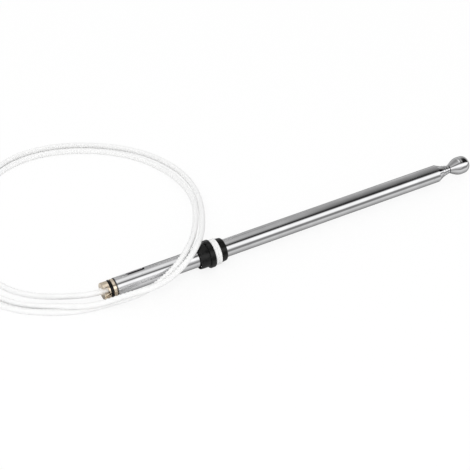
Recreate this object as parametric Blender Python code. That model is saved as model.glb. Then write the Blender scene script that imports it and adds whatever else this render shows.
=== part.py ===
"""Telescopic car aerial mast with its toothed drive cable, collapsed and lying on its seal.

The mast lies along X with its base end at -X and its head at +X. The origin is on the floor under
the middle of the mast, and Z is up. Lengths along the mast are counted from its base end.
"""

import math

import bmesh
import bpy
import numpy as np
from mathutils import Matrix

MM = 0.001

# Clearances: running fit, fixed fit and the space between faces that meet
RUN = 0.10 * MM
SEAT_GAP = 0.05 * MM
FACE_GAP = 0.30 * MM

# Outer tube
TUBE_R = 5.00 * MM
TUBE_WALL = 0.50 * MM
TUBE_LENGTH = 203.50 * MM
MOUTH_CONE_LENGTH = 3.20 * MM
MOUTH_WALL = 0.40 * MM
WINDOW_START = 7.60 * MM
WINDOW_LENGTH = 10.30 * MM
WINDOW_WIDTH = 3.00 * MM
WINDOW_TURN = math.radians(-22.5)

# Contact leaf in the window
LEAF_THICKNESS = 0.30 * MM
LEAF_SIDE_GAP = 0.35 * MM
LEAF_TUCK = 1.40 * MM
LEAF_SLOPE = 0.90 * MM
LEAF_DEPTH = 0.15 * MM

# Base fitting
FORK_LENGTH = 3.20 * MM
FORK_STEP = 0.30 * MM
FORK_SLOT = 3.60 * MM
FORK_TURN = math.radians(-43.0)
JAW_HOLE_R = 0.60 * MM
JAW_HOLE_TURN = math.radians(11.0)
JAW_HOLE_MARGIN = 0.10 * MM
FORK_BEVEL = 0.30 * MM
LAND_LENGTH = 0.65 * MM
GROOVE_LENGTH = 1.70 * MM
GROOVE_DEPTH = 1.25 * MM
COLLAR_LENGTH = 1.65 * MM
COLLAR_STEP = 0.15 * MM
SHANK_LENGTH = 5.00 * MM
O_RING_WIRE_R = 0.72 * MM
O_RING_SIDES = 12

# Drive cable
CABLE_R = 1.60 * MM
CABLE_STEP = 8.0 * MM
CABLE_BORE_GAP = 0.35 * MM

# Inner sections, from the largest to the smallest
SECTION_NAMES = ("section_2", "section_3", "section_4")
SECTION_2_R = 3.00 * MM
SECTION_WALL = 0.20 * MM
RETAINING_LIP = 0.15 * MM
BEAD_HEIGHTS = (0.15 * MM, 0.30 * MM, 0.50 * MM)
BEAD_LENGTH = 1.40 * MM
BEAD_ROUND = 0.30 * MM
MOUTH_LENGTH = 2.40 * MM
FOOT_START = 28.00 * MM
FOOT_STEP = 1.00 * MM
FOOT_LIP_LENGTH = 0.50 * MM
FOOT_LIP_HEIGHT = 0.12 * MM
GUIDE_LENGTH = 6.00 * MM
SLIT_WIDTH = 0.60 * MM

# Foot bush of section 2
BUSH_FLANGE_LENGTH = 2.00 * MM
BUSH_WAIST_DEPTH = 0.55 * MM
CONTACT_WALL = 0.35 * MM
CONTACT_LENGTH = 7.00 * MM

# Rod and head
STUB_STEP = 0.45 * MM
STUB_LENGTH = 4.00 * MM
FERRULE_LENGTH = 10.00 * MM
CRIMP_START = 2.50 * MM
CRIMP_SLOPE = 1.25 * MM
CRIMP_LENGTH = 2.50 * MM
CRIMP_DEPTH = 0.15 * MM
ROD_IN_HEAD = 6.00 * MM
HEAD_LENGTH = 12.80 * MM
HEAD_R = 5.10 * MM
HEAD_NECK_R = 2.55 * MM
HEAD_NECK_LENGTH = 0.15 * MM
HEAD_FLARE_LENGTH = 6.40 * MM
HEAD_FLARE_STEPS = 12
HEAD_SWELL = 1.09
HEAD_END_R = 5.04 * MM
HEAD_DOME_ROUND = 4.15 * MM
HEAD_DOME_STEPS = 10

# Seal on the outer tube
SEAL_START = 55.50 * MM
GROMMET_LENGTH = 5.50 * MM
GROMMET_END_WALL = 0.82 * MM
GROMMET_WALL = 1.00 * MM
GROMMET_SWELL = 2.00 * MM
GROMMET_MOUTH_DEPTH = 1.20 * MM
GROMMET_MOUTH_STEP = 0.45 * MM
FLANGE_LENGTH = 2.90 * MM
FLANGE_WALL = 2.10 * MM
FLANGE_ROUND = 0.45 * MM
SEAL_SLEEVE_WALL = 0.50 * MM
SEAL_SLEEVE_INSET = 1.20 * MM
WHITE_RING_LENGTH = 3.50 * MM
WHITE_RING_WALL = 1.60 * MM
RING_GROOVE_LENGTH = 0.40 * MM
RING_GROOVE_DEPTH = 0.25 * MM
CAP_LENGTH = 4.00 * MM
CAP_WALL = 1.15 * MM
CAP_END_WALL = 0.75 * MM
CAP_ROUND = 0.80 * MM

# Sides of round pieces, the steps of a rounded edge and the distance at which doubled points merge
SIDES = 48
SMALL_SIDES = 24
ARC_STEPS = 4
MERGE = 0.0002 * MM

# The cable's route in metres: out of the ferrule, through the fork and twice round over the mast
CABLE_ROUTE = (
    (-0.0944, 0.0000, 0.00775), (-0.1033, 0.0000, 0.00775), (-0.1129, 0.0000, 0.00775),
    (-0.1213, 0.0019, 0.00700), (-0.1288, 0.0064, 0.00520), (-0.1413, 0.0158, 0.00220),
    (-0.1543, 0.0275, 0.00165), (-0.1623, 0.0450, 0.00165), (-0.1629, 0.0720, 0.00165),
    (-0.1518, 0.0990, 0.00165), (-0.1328, 0.1185, 0.00165), (-0.1104, 0.1256, 0.00165),
    (-0.0863, 0.1215, 0.00165), (-0.0634, 0.1088, 0.00165), (-0.0472, 0.0910, 0.00165),
    (-0.0390, 0.0673, 0.00330), (-0.0417, 0.0392, 0.00810), (-0.0471, 0.0262, 0.01080),
    (-0.0561, 0.0109, 0.01360), (-0.0664, -0.0003, 0.01460), (-0.0771, -0.0066, 0.01230),
    (-0.0872, -0.0094, 0.00940), (-0.0976, -0.0097, 0.00670), (-0.1071, -0.0076, 0.00460),
    (-0.1159, -0.0054, 0.00300), (-0.1252, -0.0030, 0.00190), (-0.1351, 0.0003, 0.00165),
    (-0.1463, 0.0059, 0.00165), (-0.1586, 0.0147, 0.00165), (-0.1711, 0.0340, 0.00165),
    (-0.1739, 0.0620, 0.00165), (-0.1648, 0.0930, 0.00165), (-0.1423, 0.1160, 0.00165),
    (-0.1178, 0.1295, 0.00165), (-0.0914, 0.1286, 0.00165), (-0.0669, 0.1175, 0.00165),
    (-0.0464, 0.0995, 0.00165), (-0.0349, 0.0747, 0.00260), (-0.0357, 0.0486, 0.00640),
    (-0.0461, 0.0199, 0.01220), (-0.0551, 0.0049, 0.01560), (-0.0643, -0.0041, 0.01560),
    (-0.0745, -0.0094, 0.01330), (-0.0855, -0.0122, 0.01155), (-0.0946, -0.0118, 0.01045),
    (-0.1025, -0.0096, 0.00900), (-0.1120, -0.0075, 0.00705), (-0.1212, -0.0050, 0.00565),
    (-0.1298, -0.0013, 0.00510), (-0.1373, 0.0041, 0.00390), (-0.1448, 0.0095, 0.00240),
    (-0.1514, 0.0145, 0.00165), (-0.1577, 0.0201, 0.00165), (-0.1675, 0.0370, 0.00165),
    (-0.1697, 0.0640, 0.00165), (-0.1679, 0.0765, 0.00165),
)

# Sizes that follow from the ones above
SEAL_BORE = TUBE_R + RUN
SEAL_SLEEVE_R = SEAL_BORE + SEAL_SLEEVE_WALL
RUBBER_BORE = SEAL_SLEEVE_R + SEAT_GAP
FLANGE_R = RUBBER_BORE + FLANGE_WALL
AXIS_HEIGHT = FLANGE_R
FORK_R = TUBE_R - FORK_STEP
COLLAR_R = TUBE_R - COLLAR_STEP
GROOVE_R = FORK_R - GROOVE_DEPTH
FITTING_FACE = FORK_LENGTH + LAND_LENGTH + GROOVE_LENGTH + COLLAR_LENGTH
TUBE_START = FITTING_FACE + FACE_GAP
TUBE_END = TUBE_START + TUBE_LENGTH
TUBE_BORE = TUBE_R - TUBE_WALL
MOUTH_BORE = SECTION_2_R + RUN
CONE_START = TUBE_END - MOUTH_CONE_LENGTH
BEAD_PITCH = BEAD_LENGTH + FACE_GAP
HEAD_START = TUBE_END + FACE_GAP + len(SECTION_NAMES) * BEAD_PITCH
MAST_LENGTH = HEAD_START + HEAD_LENGTH
BASE_X = -MAST_LENGTH / 2
CABLE_BORE = CABLE_R + CABLE_BORE_GAP
ROD_START = FOOT_START + len(SECTION_NAMES) * FOOT_STEP


def section_radius(index):
    """Outer radius of an inner section: each runs inside the last one and is held in by its lip."""
    return SECTION_2_R - index * (SECTION_WALL + 2 * RUN + RETAINING_LIP)


ROD_R = section_radius(len(SECTION_NAMES))
STUB_R = ROD_R - STUB_STEP


def clear_scene():
    """Remove whatever the file starts with."""
    for obj in list(bpy.data.objects):
        bpy.data.objects.remove(obj)


def finish(name, colour, roughness, metallic):
    """A plain finish with one colour."""
    material = bpy.data.materials.new(name)
    material.use_nodes = True
    shader = material.node_tree.nodes["Principled BSDF"]
    shader.inputs["Base Color"].default_value = (*colour, 1.0)
    shader.inputs["Roughness"].default_value = roughness
    shader.inputs["Metallic"].default_value = metallic
    material.diffuse_color = (*colour, 1.0)
    return material


def empty(name, parent=None, location=(0.0, 0.0, 0.0)):
    """An empty that places its children."""
    holder = bpy.data.objects.new(name, None)
    holder.location = location
    holder.parent = parent
    bpy.context.collection.objects.link(holder)
    return holder


def add_mesh(name, bm, material, parent):
    """Turn a bmesh into an object, smooth on its round faces and sharp at its edges."""
    bmesh.ops.recalc_face_normals(bm, faces=bm.faces)
    mesh = bpy.data.meshes.new(name)
    bm.to_mesh(mesh)
    bm.free()
    mesh.shade_smooth()
    mesh.set_sharp_from_angle(angle=math.radians(35.0))
    mesh.materials.append(material)
    obj = bpy.data.objects.new(name, mesh)
    obj.parent = parent
    bpy.context.collection.objects.link(obj)
    return obj


def arc(centre_x, centre_r, radius, start, end, steps=ARC_STEPS):
    """Points of an arc in the turning plane, between two angles in degrees counted from +X."""
    angles = [math.radians(start + (end - start) * k / steps) for k in range(steps + 1)]
    return [(centre_x + radius * math.cos(a), centre_r + radius * math.sin(a)) for a in angles]


def turned(name, outline, material, parent, sides=SIDES):
    """Spin a closed outline of (x, radius) points about the mast's axis."""
    bm = bmesh.new()
    points = [bm.verts.new((x, 0.0, radius)) for x, radius in outline]
    sides_of_outline = zip(points, points[1:] + points[:1])
    edges = [bm.edges.new(ends) for ends in sides_of_outline if max(v.co.z for v in ends) > 0.0]
    bmesh.ops.spin(
        bm, geom=points + edges, cent=(0, 0, 0), axis=(1, 0, 0), angle=math.tau, steps=sides
    )
    bmesh.ops.remove_doubles(bm, verts=bm.verts, dist=MERGE)
    return add_mesh(name, bm, material, parent)


def box(name, low, high, material, parent):
    """A box between two corners."""
    bm = bmesh.new()
    bmesh.ops.create_cube(bm, size=1.0)
    for vert in bm.verts:
        vert.co = [b if c > 0 else a for a, b, c in zip(low, high, vert.co)]
    return add_mesh(name, bm, material, parent)


def cut(target, cutter):
    """Cut a tool's shape out of a piece, and leave the tool out of the picture."""
    cutter.hide_render = True
    cutter.display_type = "WIRE"
    modifier = target.modifiers.new("cut_" + cutter.name, "BOOLEAN")
    modifier.operation = "DIFFERENCE"
    modifier.solver = "EXACT"
    modifier.object = cutter


def slit(target, start, length, radius, material, parent):
    """Split a thin sleeve along one side, from outside to its bore."""
    tool = box(
        target.name + "_slit_tool",
        (start - FACE_GAP, -SLIT_WIDTH / 2, -radius - FACE_GAP),
        (start + length + FACE_GAP, SLIT_WIDTH / 2, 0.0),
        material,
        parent,
    )
    cut(target, tool)


def add_outer_tube(mats, mast):
    """Chromed tube, swaged to a cone at the mouth, with a window near its base."""
    outline = [
        (TUBE_START, TUBE_BORE),
        (TUBE_START, TUBE_R),
        (CONE_START, TUBE_R),
        (TUBE_END, MOUTH_BORE + MOUTH_WALL),
        (TUBE_END, MOUTH_BORE),
        (TUBE_END - MOUTH_WALL, MOUTH_BORE),
        (CONE_START, TUBE_BORE),
    ]
    tube = turned("outer_tube", outline, mats["chrome"], mast)
    start = TUBE_START + WINDOW_START
    tool = box(
        "window_tool",
        (start, -WINDOW_WIDTH / 2, 0.0),
        (start + WINDOW_LENGTH, WINDOW_WIDTH / 2, TUBE_R + TUBE_WALL),
        mats["chrome"],
        mast,
    )
    tool.rotation_euler = (WINDOW_TURN, 0.0, 0.0)
    cut(tube, tool)


def add_contact_leaf(mats, mast):
    """Spring leaf that fills the window, with both ends stepped down and tucked under the wall."""
    start = TUBE_START + WINDOW_START
    end = start + WINDOW_LENGTH
    top = TUBE_R - LEAF_DEPTH
    under = TUBE_BORE * math.cos(math.pi / SIDES) - RUN - LEAF_SIDE_GAP
    upper = [
        (start - LEAF_TUCK, under),
        (start + LEAF_SIDE_GAP, under),
        (start + LEAF_SIDE_GAP + LEAF_SLOPE, top),
        (end - LEAF_SIDE_GAP - LEAF_SLOPE, top),
        (end - LEAF_SIDE_GAP, under),
        (end + LEAF_TUCK, under),
    ]
    outline = upper + [(x, z - LEAF_THICKNESS) for x, z in reversed(upper)]
    half_width = WINDOW_WIDTH / 2 - LEAF_SIDE_GAP
    bm = bmesh.new()
    face = bm.faces.new([bm.verts.new((x, -half_width, z)) for x, z in outline])
    grown = bmesh.ops.extrude_face_region(bm, geom=[face])
    side = [item for item in grown["geom"] if isinstance(item, bmesh.types.BMVert)]
    bmesh.ops.translate(bm, verts=side, vec=(0.0, 2 * half_width, 0.0))
    bmesh.ops.rotate(bm, verts=bm.verts, matrix=Matrix.Rotation(WINDOW_TURN, 3, "X"))
    add_mesh("contact_leaf", bm, mats["steel"], mast)


def add_base_fitting(mats, mast):
    """Brass end piece: a slotted fork, a groove for the ring, a collar and a shank in the tube."""
    groove_start = FORK_LENGTH + LAND_LENGTH
    groove_end = groove_start + GROOVE_LENGTH
    shank_r = TUBE_BORE - RUN
    outline = [
        (0.0, CABLE_BORE),
        (0.0, FORK_R - FORK_BEVEL),
        (FORK_BEVEL, FORK_R),
        (groove_start, FORK_R),
        (groove_start, GROOVE_R),
        (groove_end, GROOVE_R),
        (groove_end, COLLAR_R),
        (FITTING_FACE, COLLAR_R),
        (FITTING_FACE, shank_r),
        (FITTING_FACE + SHANK_LENGTH, shank_r),
        (FITTING_FACE + SHANK_LENGTH, CABLE_BORE),
    ]
    fitting = turned("base_fitting", outline, mats["brass"], mast)
    slot_tool = box(
        "fork_slot_tool",
        (-FACE_GAP, -COLLAR_R, -FORK_SLOT / 2),
        (FORK_LENGTH, COLLAR_R, FORK_SLOT / 2),
        mats["brass"],
        mast,
    )
    slot_tool.rotation_euler = (FORK_TURN, 0.0, 0.0)
    cut(fitting, slot_tool)
    bm = bmesh.new()
    bmesh.ops.create_cone(
        bm, cap_ends=True, segments=SMALL_SIDES, radius1=JAW_HOLE_R, radius2=JAW_HOLE_R, depth=FORK_R
    )
    hole_tool = add_mesh("jaw_hole_tool", bm, mats["brass"], mast)
    hole_tool.rotation_euler = (math.pi / 2 - JAW_HOLE_TURN, 0.0, 0.0)
    middle = CABLE_BORE + FORK_R / 2
    hole_tool.location = (
        FORK_LENGTH - JAW_HOLE_MARGIN,
        -middle * math.cos(JAW_HOLE_TURN),
        middle * math.sin(JAW_HOLE_TURN),
    )
    cut(fitting, hole_tool)


def add_base_ring(mats, mast):
    """Rubber O-ring in the fitting's groove."""
    centre_x = FORK_LENGTH + LAND_LENGTH + GROOVE_LENGTH / 2
    centre_r = GROOVE_R + SEAT_GAP + O_RING_WIRE_R
    outline = arc(centre_x, centre_r, O_RING_WIRE_R, 0.0, 360.0, O_RING_SIDES)[:-1]
    turned("base_o_ring", outline, mats["rubber"], mast)


def add_section(index, mats, holder):
    """Inner tube with a rolled bead at its mouth, and the guide sleeve at its foot."""
    name = SECTION_NAMES[index]
    radius = section_radius(index)
    bore = radius - SECTION_WALL
    mouth = section_radius(index + 1) + RUN
    start = FOOT_START + index * FOOT_STEP
    bead_start = TUBE_END + FACE_GAP + index * BEAD_PITCH
    bead_end = bead_start + BEAD_LENGTH
    bead_r = radius + BEAD_HEIGHTS[index]
    rear_round = min(BEAD_ROUND, bead_r - radius)
    lip_r = radius + FOOT_LIP_HEIGHT
    outline = [
        (start, bore),
        (start, lip_r),
        (start + FOOT_LIP_LENGTH, lip_r),
        (start + FOOT_LIP_LENGTH, radius),
        (bead_start, radius),
        *arc(bead_start + rear_round, bead_r - rear_round, rear_round, 180.0, 90.0),
        *arc(bead_end - BEAD_ROUND, bead_r - BEAD_ROUND, BEAD_ROUND, 90.0, 0.0),
        (bead_end, mouth),
        (bead_end - MOUTH_LENGTH, mouth),
        (bead_end - MOUTH_LENGTH, bore),
    ]
    turned(name + "_tube", outline, mats["chrome"], holder, SMALL_SIDES)
    if index == 0:
        add_foot_bush(name, radius, start, mats, holder)
    else:
        outer_bore = section_radius(index - 1) - SECTION_WALL
        add_guide_sleeve(name, radius, outer_bore, start, mats, holder)


def add_foot_bush(name, radius, start, mats, holder):
    """Nylon bush that fills the outer tube's bore, with a split brass sleeve round its waist."""
    bush_start = start + FOOT_LIP_LENGTH + SEAT_GAP
    waist_start = bush_start + BUSH_FLANGE_LENGTH
    waist_end = waist_start + CONTACT_LENGTH + 2 * SEAT_GAP
    bush_end = waist_end + BUSH_FLANGE_LENGTH
    flange_r = TUBE_BORE - RUN
    waist_r = flange_r - BUSH_WAIST_DEPTH
    outline = [
        (bush_start, radius + SEAT_GAP),
        (bush_start, flange_r),
        (waist_start, flange_r),
        (waist_start, waist_r),
        (waist_end, waist_r),
        (waist_end, flange_r),
        (bush_end, flange_r),
        (bush_end, radius + SEAT_GAP),
    ]
    turned(name + "_foot_bush", outline, mats["nylon"], holder)
    sleeve_start = waist_start + SEAT_GAP
    sleeve_r = waist_r + SEAT_GAP + CONTACT_WALL
    outline = [
        (sleeve_start, sleeve_r - CONTACT_WALL),
        (sleeve_start, sleeve_r),
        (sleeve_start + CONTACT_LENGTH, sleeve_r),
        (sleeve_start + CONTACT_LENGTH, sleeve_r - CONTACT_WALL),
    ]
    sleeve = turned(name + "_contact_sleeve", outline, mats["brass"], holder)
    slit(sleeve, sleeve_start, CONTACT_LENGTH, sleeve_r, mats["brass"], holder)


def add_guide_sleeve(name, radius, outer_bore, start, mats, holder):
    """Split brass sleeve at the foot of a sliding piece, running in the bore of the last one."""
    sleeve_start = start + FOOT_LIP_LENGTH + SEAT_GAP
    sleeve_r = outer_bore - RUN
    outline = [
        (sleeve_start, radius + SEAT_GAP),
        (sleeve_start, sleeve_r),
        (sleeve_start + GUIDE_LENGTH, sleeve_r),
        (sleeve_start + GUIDE_LENGTH, radius + SEAT_GAP),
    ]
    sleeve = turned(name + "_guide_sleeve", outline, mats["brass"], holder, SMALL_SIDES)
    slit(sleeve, sleeve_start, GUIDE_LENGTH, sleeve_r, mats["brass"], holder)


def add_rod(mats, holder):
    """Solid rod with a stub for the ferrule at its foot and its upper end inside the head."""
    lip_r = ROD_R + FOOT_LIP_HEIGHT
    outline = [
        (ROD_START - STUB_LENGTH, 0.0),
        (ROD_START - STUB_LENGTH, STUB_R),
        (ROD_START, STUB_R),
        (ROD_START, lip_r),
        (ROD_START + FOOT_LIP_LENGTH, lip_r),
        (ROD_START + FOOT_LIP_LENGTH, ROD_R),
        (HEAD_START + ROD_IN_HEAD, ROD_R),
        (HEAD_START + ROD_IN_HEAD, 0.0),
    ]
    turned("tip_rod", outline, mats["chrome"], holder, SMALL_SIDES)
    outer_bore = section_radius(len(SECTION_NAMES) - 1) - SECTION_WALL
    add_guide_sleeve("tip_rod", ROD_R, outer_bore, ROD_START, mats, holder)


def add_ferrule(mats, holder):
    """Crimped barrel on the rod's stub, where the drive cable ends."""
    radius = section_radius(len(SECTION_NAMES) - 1) - SECTION_WALL - RUN
    end = ROD_START - SEAT_GAP
    start = end - FERRULE_LENGTH
    crimp = start + CRIMP_START
    floor = ROD_START - STUB_LENGTH - SEAT_GAP
    outline = [
        (start, 0.0),
        (start, radius),
        (crimp, radius),
        (crimp + CRIMP_SLOPE, radius - CRIMP_DEPTH),
        (crimp + CRIMP_SLOPE + CRIMP_LENGTH, radius - CRIMP_DEPTH),
        (crimp + 2 * CRIMP_SLOPE + CRIMP_LENGTH, radius),
        (end, radius),
        (end, STUB_R + SEAT_GAP),
        (floor, STUB_R + SEAT_GAP),
        (floor, 0.0),
    ]
    turned("cable_ferrule", outline, mats["brass"], holder, SMALL_SIDES)


def add_head(mats, holder):
    """Chromed head, bored for the rod, flaring from a thin neck to a round body with a domed end."""
    flare_start = HEAD_START + HEAD_NECK_LENGTH
    flare = []
    for k in range(HEAD_FLARE_STEPS + 1):
        share = k / HEAD_FLARE_STEPS
        swell = math.sin(share * math.pi / 2) ** HEAD_SWELL
        radius = HEAD_NECK_R + (HEAD_R - HEAD_NECK_R) * swell
        flare.append((flare_start + share * HEAD_FLARE_LENGTH, radius))
    dome_x = MAST_LENGTH - HEAD_DOME_ROUND
    outline = [
        (HEAD_START, ROD_R + RUN),
        (HEAD_START, HEAD_NECK_R),
        *flare,
        *arc(dome_x, HEAD_END_R - HEAD_DOME_ROUND, HEAD_DOME_ROUND, 90.0, 0.0, HEAD_DOME_STEPS),
        (MAST_LENGTH, 0.0),
        (HEAD_START + ROD_IN_HEAD + RUN, 0.0),
        (HEAD_START + ROD_IN_HEAD + RUN, ROD_R + RUN),
    ]
    turned("tip_head", outline, mats["chrome"], holder)


def add_seal(mats, holder):
    """Rubber grommet and rubber cap on a white flanged bush that slides along the outer tube."""
    ring_r = SEAL_SLEEVE_R + WHITE_RING_WALL
    cap_end_r = RUBBER_BORE + CAP_END_WALL
    shoulder = SEAL_START + GROMMET_LENGTH
    flange_end = shoulder + FLANGE_LENGTH
    ring_start = flange_end + RUN
    ring_end = ring_start + WHITE_RING_LENGTH
    cap_start = ring_end + RUN
    cap_end = cap_start + CAP_LENGTH
    grommet = [
        (SEAL_START + GROMMET_MOUTH_DEPTH, RUBBER_BORE),
        (SEAL_START, RUBBER_BORE + GROMMET_MOUTH_STEP),
        (SEAL_START, RUBBER_BORE + GROMMET_END_WALL),
        (SEAL_START + GROMMET_SWELL, RUBBER_BORE + GROMMET_WALL),
        (shoulder, RUBBER_BORE + GROMMET_WALL),
        *arc(shoulder + FLANGE_ROUND, FLANGE_R - FLANGE_ROUND, FLANGE_ROUND, 180.0, 90.0),
        *arc(flange_end - FLANGE_ROUND, FLANGE_R - FLANGE_ROUND, FLANGE_ROUND, 90.0, 0.0),
        (flange_end, RUBBER_BORE),
    ]
    turned("seal_grommet", grommet, mats["rubber"], holder)
    middle = (ring_start + ring_end) / 2
    groove = RING_GROOVE_LENGTH / 2
    bush = [
        (SEAL_START + SEAL_SLEEVE_INSET, SEAL_BORE),
        (SEAL_START + SEAL_SLEEVE_INSET, SEAL_SLEEVE_R),
        (ring_start, SEAL_SLEEVE_R),
        (ring_start, ring_r),
        (middle - groove, ring_r),
        (middle - groove, ring_r - RING_GROOVE_DEPTH),
        (middle + groove, ring_r - RING_GROOVE_DEPTH),
        (middle + groove, ring_r),
        (ring_end, ring_r),
        (ring_end, SEAL_SLEEVE_R),
        (cap_end - SEAL_SLEEVE_INSET, SEAL_SLEEVE_R),
        (cap_end - SEAL_SLEEVE_INSET, SEAL_BORE),
    ]
    turned("seal_bush", bush, mats["nylon"], holder)
    cap = [
        (cap_start, RUBBER_BORE),
        (cap_start, RUBBER_BORE + CAP_WALL),
        *arc(cap_end - CAP_ROUND, cap_end_r - CAP_ROUND, CAP_ROUND, 90.0, 30.0),
        (cap_end, RUBBER_BORE),
    ]
    turned("seal_cap", cap, mats["rubber"], holder)


def smooth_route(points, step):
    """Natural cubic curve through the points by chord length, read at even steps."""
    knots = np.array(points)
    spans = np.linalg.norm(np.diff(knots, axis=0), axis=1)
    along = np.concatenate([[0.0], np.cumsum(spans)])
    inner = np.arange(1, len(knots) - 1)
    system = np.eye(len(knots))
    system[inner, inner - 1] = spans[:-1]
    system[inner, inner] = 2 * (spans[:-1] + spans[1:])
    system[inner, inner + 1] = spans[1:]
    right = np.zeros_like(knots)
    right[1:-1] = 6 * np.diff(np.diff(knots, axis=0) / spans[:, None], axis=0)
    bend = np.linalg.solve(system, right)
    places = np.linspace(0.0, along[-1], round(along[-1] / step) + 1)
    k = np.clip(np.searchsorted(along, places, side="right") - 1, 0, len(spans) - 1)
    ahead = (along[k + 1] - places)[:, None]
    behind = (places - along[k])[:, None]
    span = spans[k][:, None]
    curve = (bend[k] * ahead**3 + bend[k + 1] * behind**3) / (6 * span)
    curve += (knots[k] / span - bend[k] * span / 6) * ahead
    curve += (knots[k + 1] / span - bend[k + 1] * span / 6) * behind
    curve[:, 2] = np.maximum(curve[:, 2], CABLE_R)
    return curve


def add_drive_cable(mats):
    """Plain tube along the cable's route, resting on the floor and humped over the mast."""
    route = smooth_route(CABLE_ROUTE, CABLE_STEP)
    curve = bpy.data.curves.new("drive_cable", "CURVE")
    curve.dimensions = "3D"
    curve.bevel_depth = CABLE_R
    curve.bevel_resolution = 2
    curve.use_fill_caps = True
    spline = curve.splines.new("POLY")
    spline.points.add(len(route) - 1)
    for point, place in zip(spline.points, route):
        point.co = (*place, 1.0)
    curve.materials.append(mats["nylon"])
    bpy.context.collection.objects.link(bpy.data.objects.new("drive_cable", curve))


def main():
    """Build the mast, its sliding pieces and the cable."""
    clear_scene()
    mats = {
        "chrome": finish("chrome", (0.80, 0.80, 0.82), 0.08, 1.0),
        "steel": finish("spring_steel", (0.62, 0.62, 0.60), 0.30, 1.0),
        "brass": finish("brass", (0.78, 0.66, 0.42), 0.25, 1.0),
        "rubber": finish("black_rubber", (0.02, 0.02, 0.02), 0.55, 0.0),
        "nylon": finish("white_nylon", (0.92, 0.92, 0.90), 0.40, 0.0),
    }
    mast = empty("mast_axis", location=(BASE_X, 0.0, AXIS_HEIGHT))
    add_outer_tube(mats, mast)
    add_contact_leaf(mats, mast)
    add_base_fitting(mats, mast)
    add_base_ring(mats, mast)
    for index, name in enumerate(SECTION_NAMES):
        add_section(index, mats, empty("slide_" + name, mast))
    rod_holder = empty("slide_tip_rod", mast)
    add_rod(mats, rod_holder)
    add_ferrule(mats, rod_holder)
    add_head(mats, rod_holder)
    add_seal(mats, empty("slide_seal", mast))
    add_drive_cable(mats)


main()
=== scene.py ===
"""Telescopic aerial mast on a pale table: turned surfaces, finishes, the toothed drive cable and the studio.

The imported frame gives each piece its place. The mast lies along X with its base at -X, and every piece
that is turned about the mast's axis is a surface worked out from an outline of (x, radius) points.
"""

import math

import bpy
import numpy as np
from bpy.props import FloatProperty, FloatVectorProperty, IntProperty, PointerProperty
from bpy.types import Operator, Panel, PropertyGroup
from mathutils import Matrix, Vector


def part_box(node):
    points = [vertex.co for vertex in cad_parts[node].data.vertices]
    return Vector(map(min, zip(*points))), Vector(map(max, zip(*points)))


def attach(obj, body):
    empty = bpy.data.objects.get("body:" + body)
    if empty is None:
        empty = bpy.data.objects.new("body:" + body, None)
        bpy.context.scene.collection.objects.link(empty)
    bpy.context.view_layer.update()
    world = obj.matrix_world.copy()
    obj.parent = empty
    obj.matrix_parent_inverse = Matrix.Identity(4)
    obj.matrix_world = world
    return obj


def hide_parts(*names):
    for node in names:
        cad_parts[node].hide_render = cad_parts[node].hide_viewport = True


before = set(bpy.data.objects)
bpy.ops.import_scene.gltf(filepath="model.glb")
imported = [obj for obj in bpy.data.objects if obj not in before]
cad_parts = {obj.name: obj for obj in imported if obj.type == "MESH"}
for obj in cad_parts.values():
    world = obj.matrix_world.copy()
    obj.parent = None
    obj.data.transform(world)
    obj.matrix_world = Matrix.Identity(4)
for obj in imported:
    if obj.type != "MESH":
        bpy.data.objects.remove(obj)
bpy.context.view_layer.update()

bl_info = {
    "name": "Telescopic aerial mast",
    "version": (1, 0, 0),
    "blender": (4, 5, 0),
    "location": "3D View > Sidebar > Aerial mast",
    "description": "Dresses a telescopic aerial mast with its finishes, its toothed cable and a studio",
    "category": "Add Mesh",
}

MM = 0.001

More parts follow.
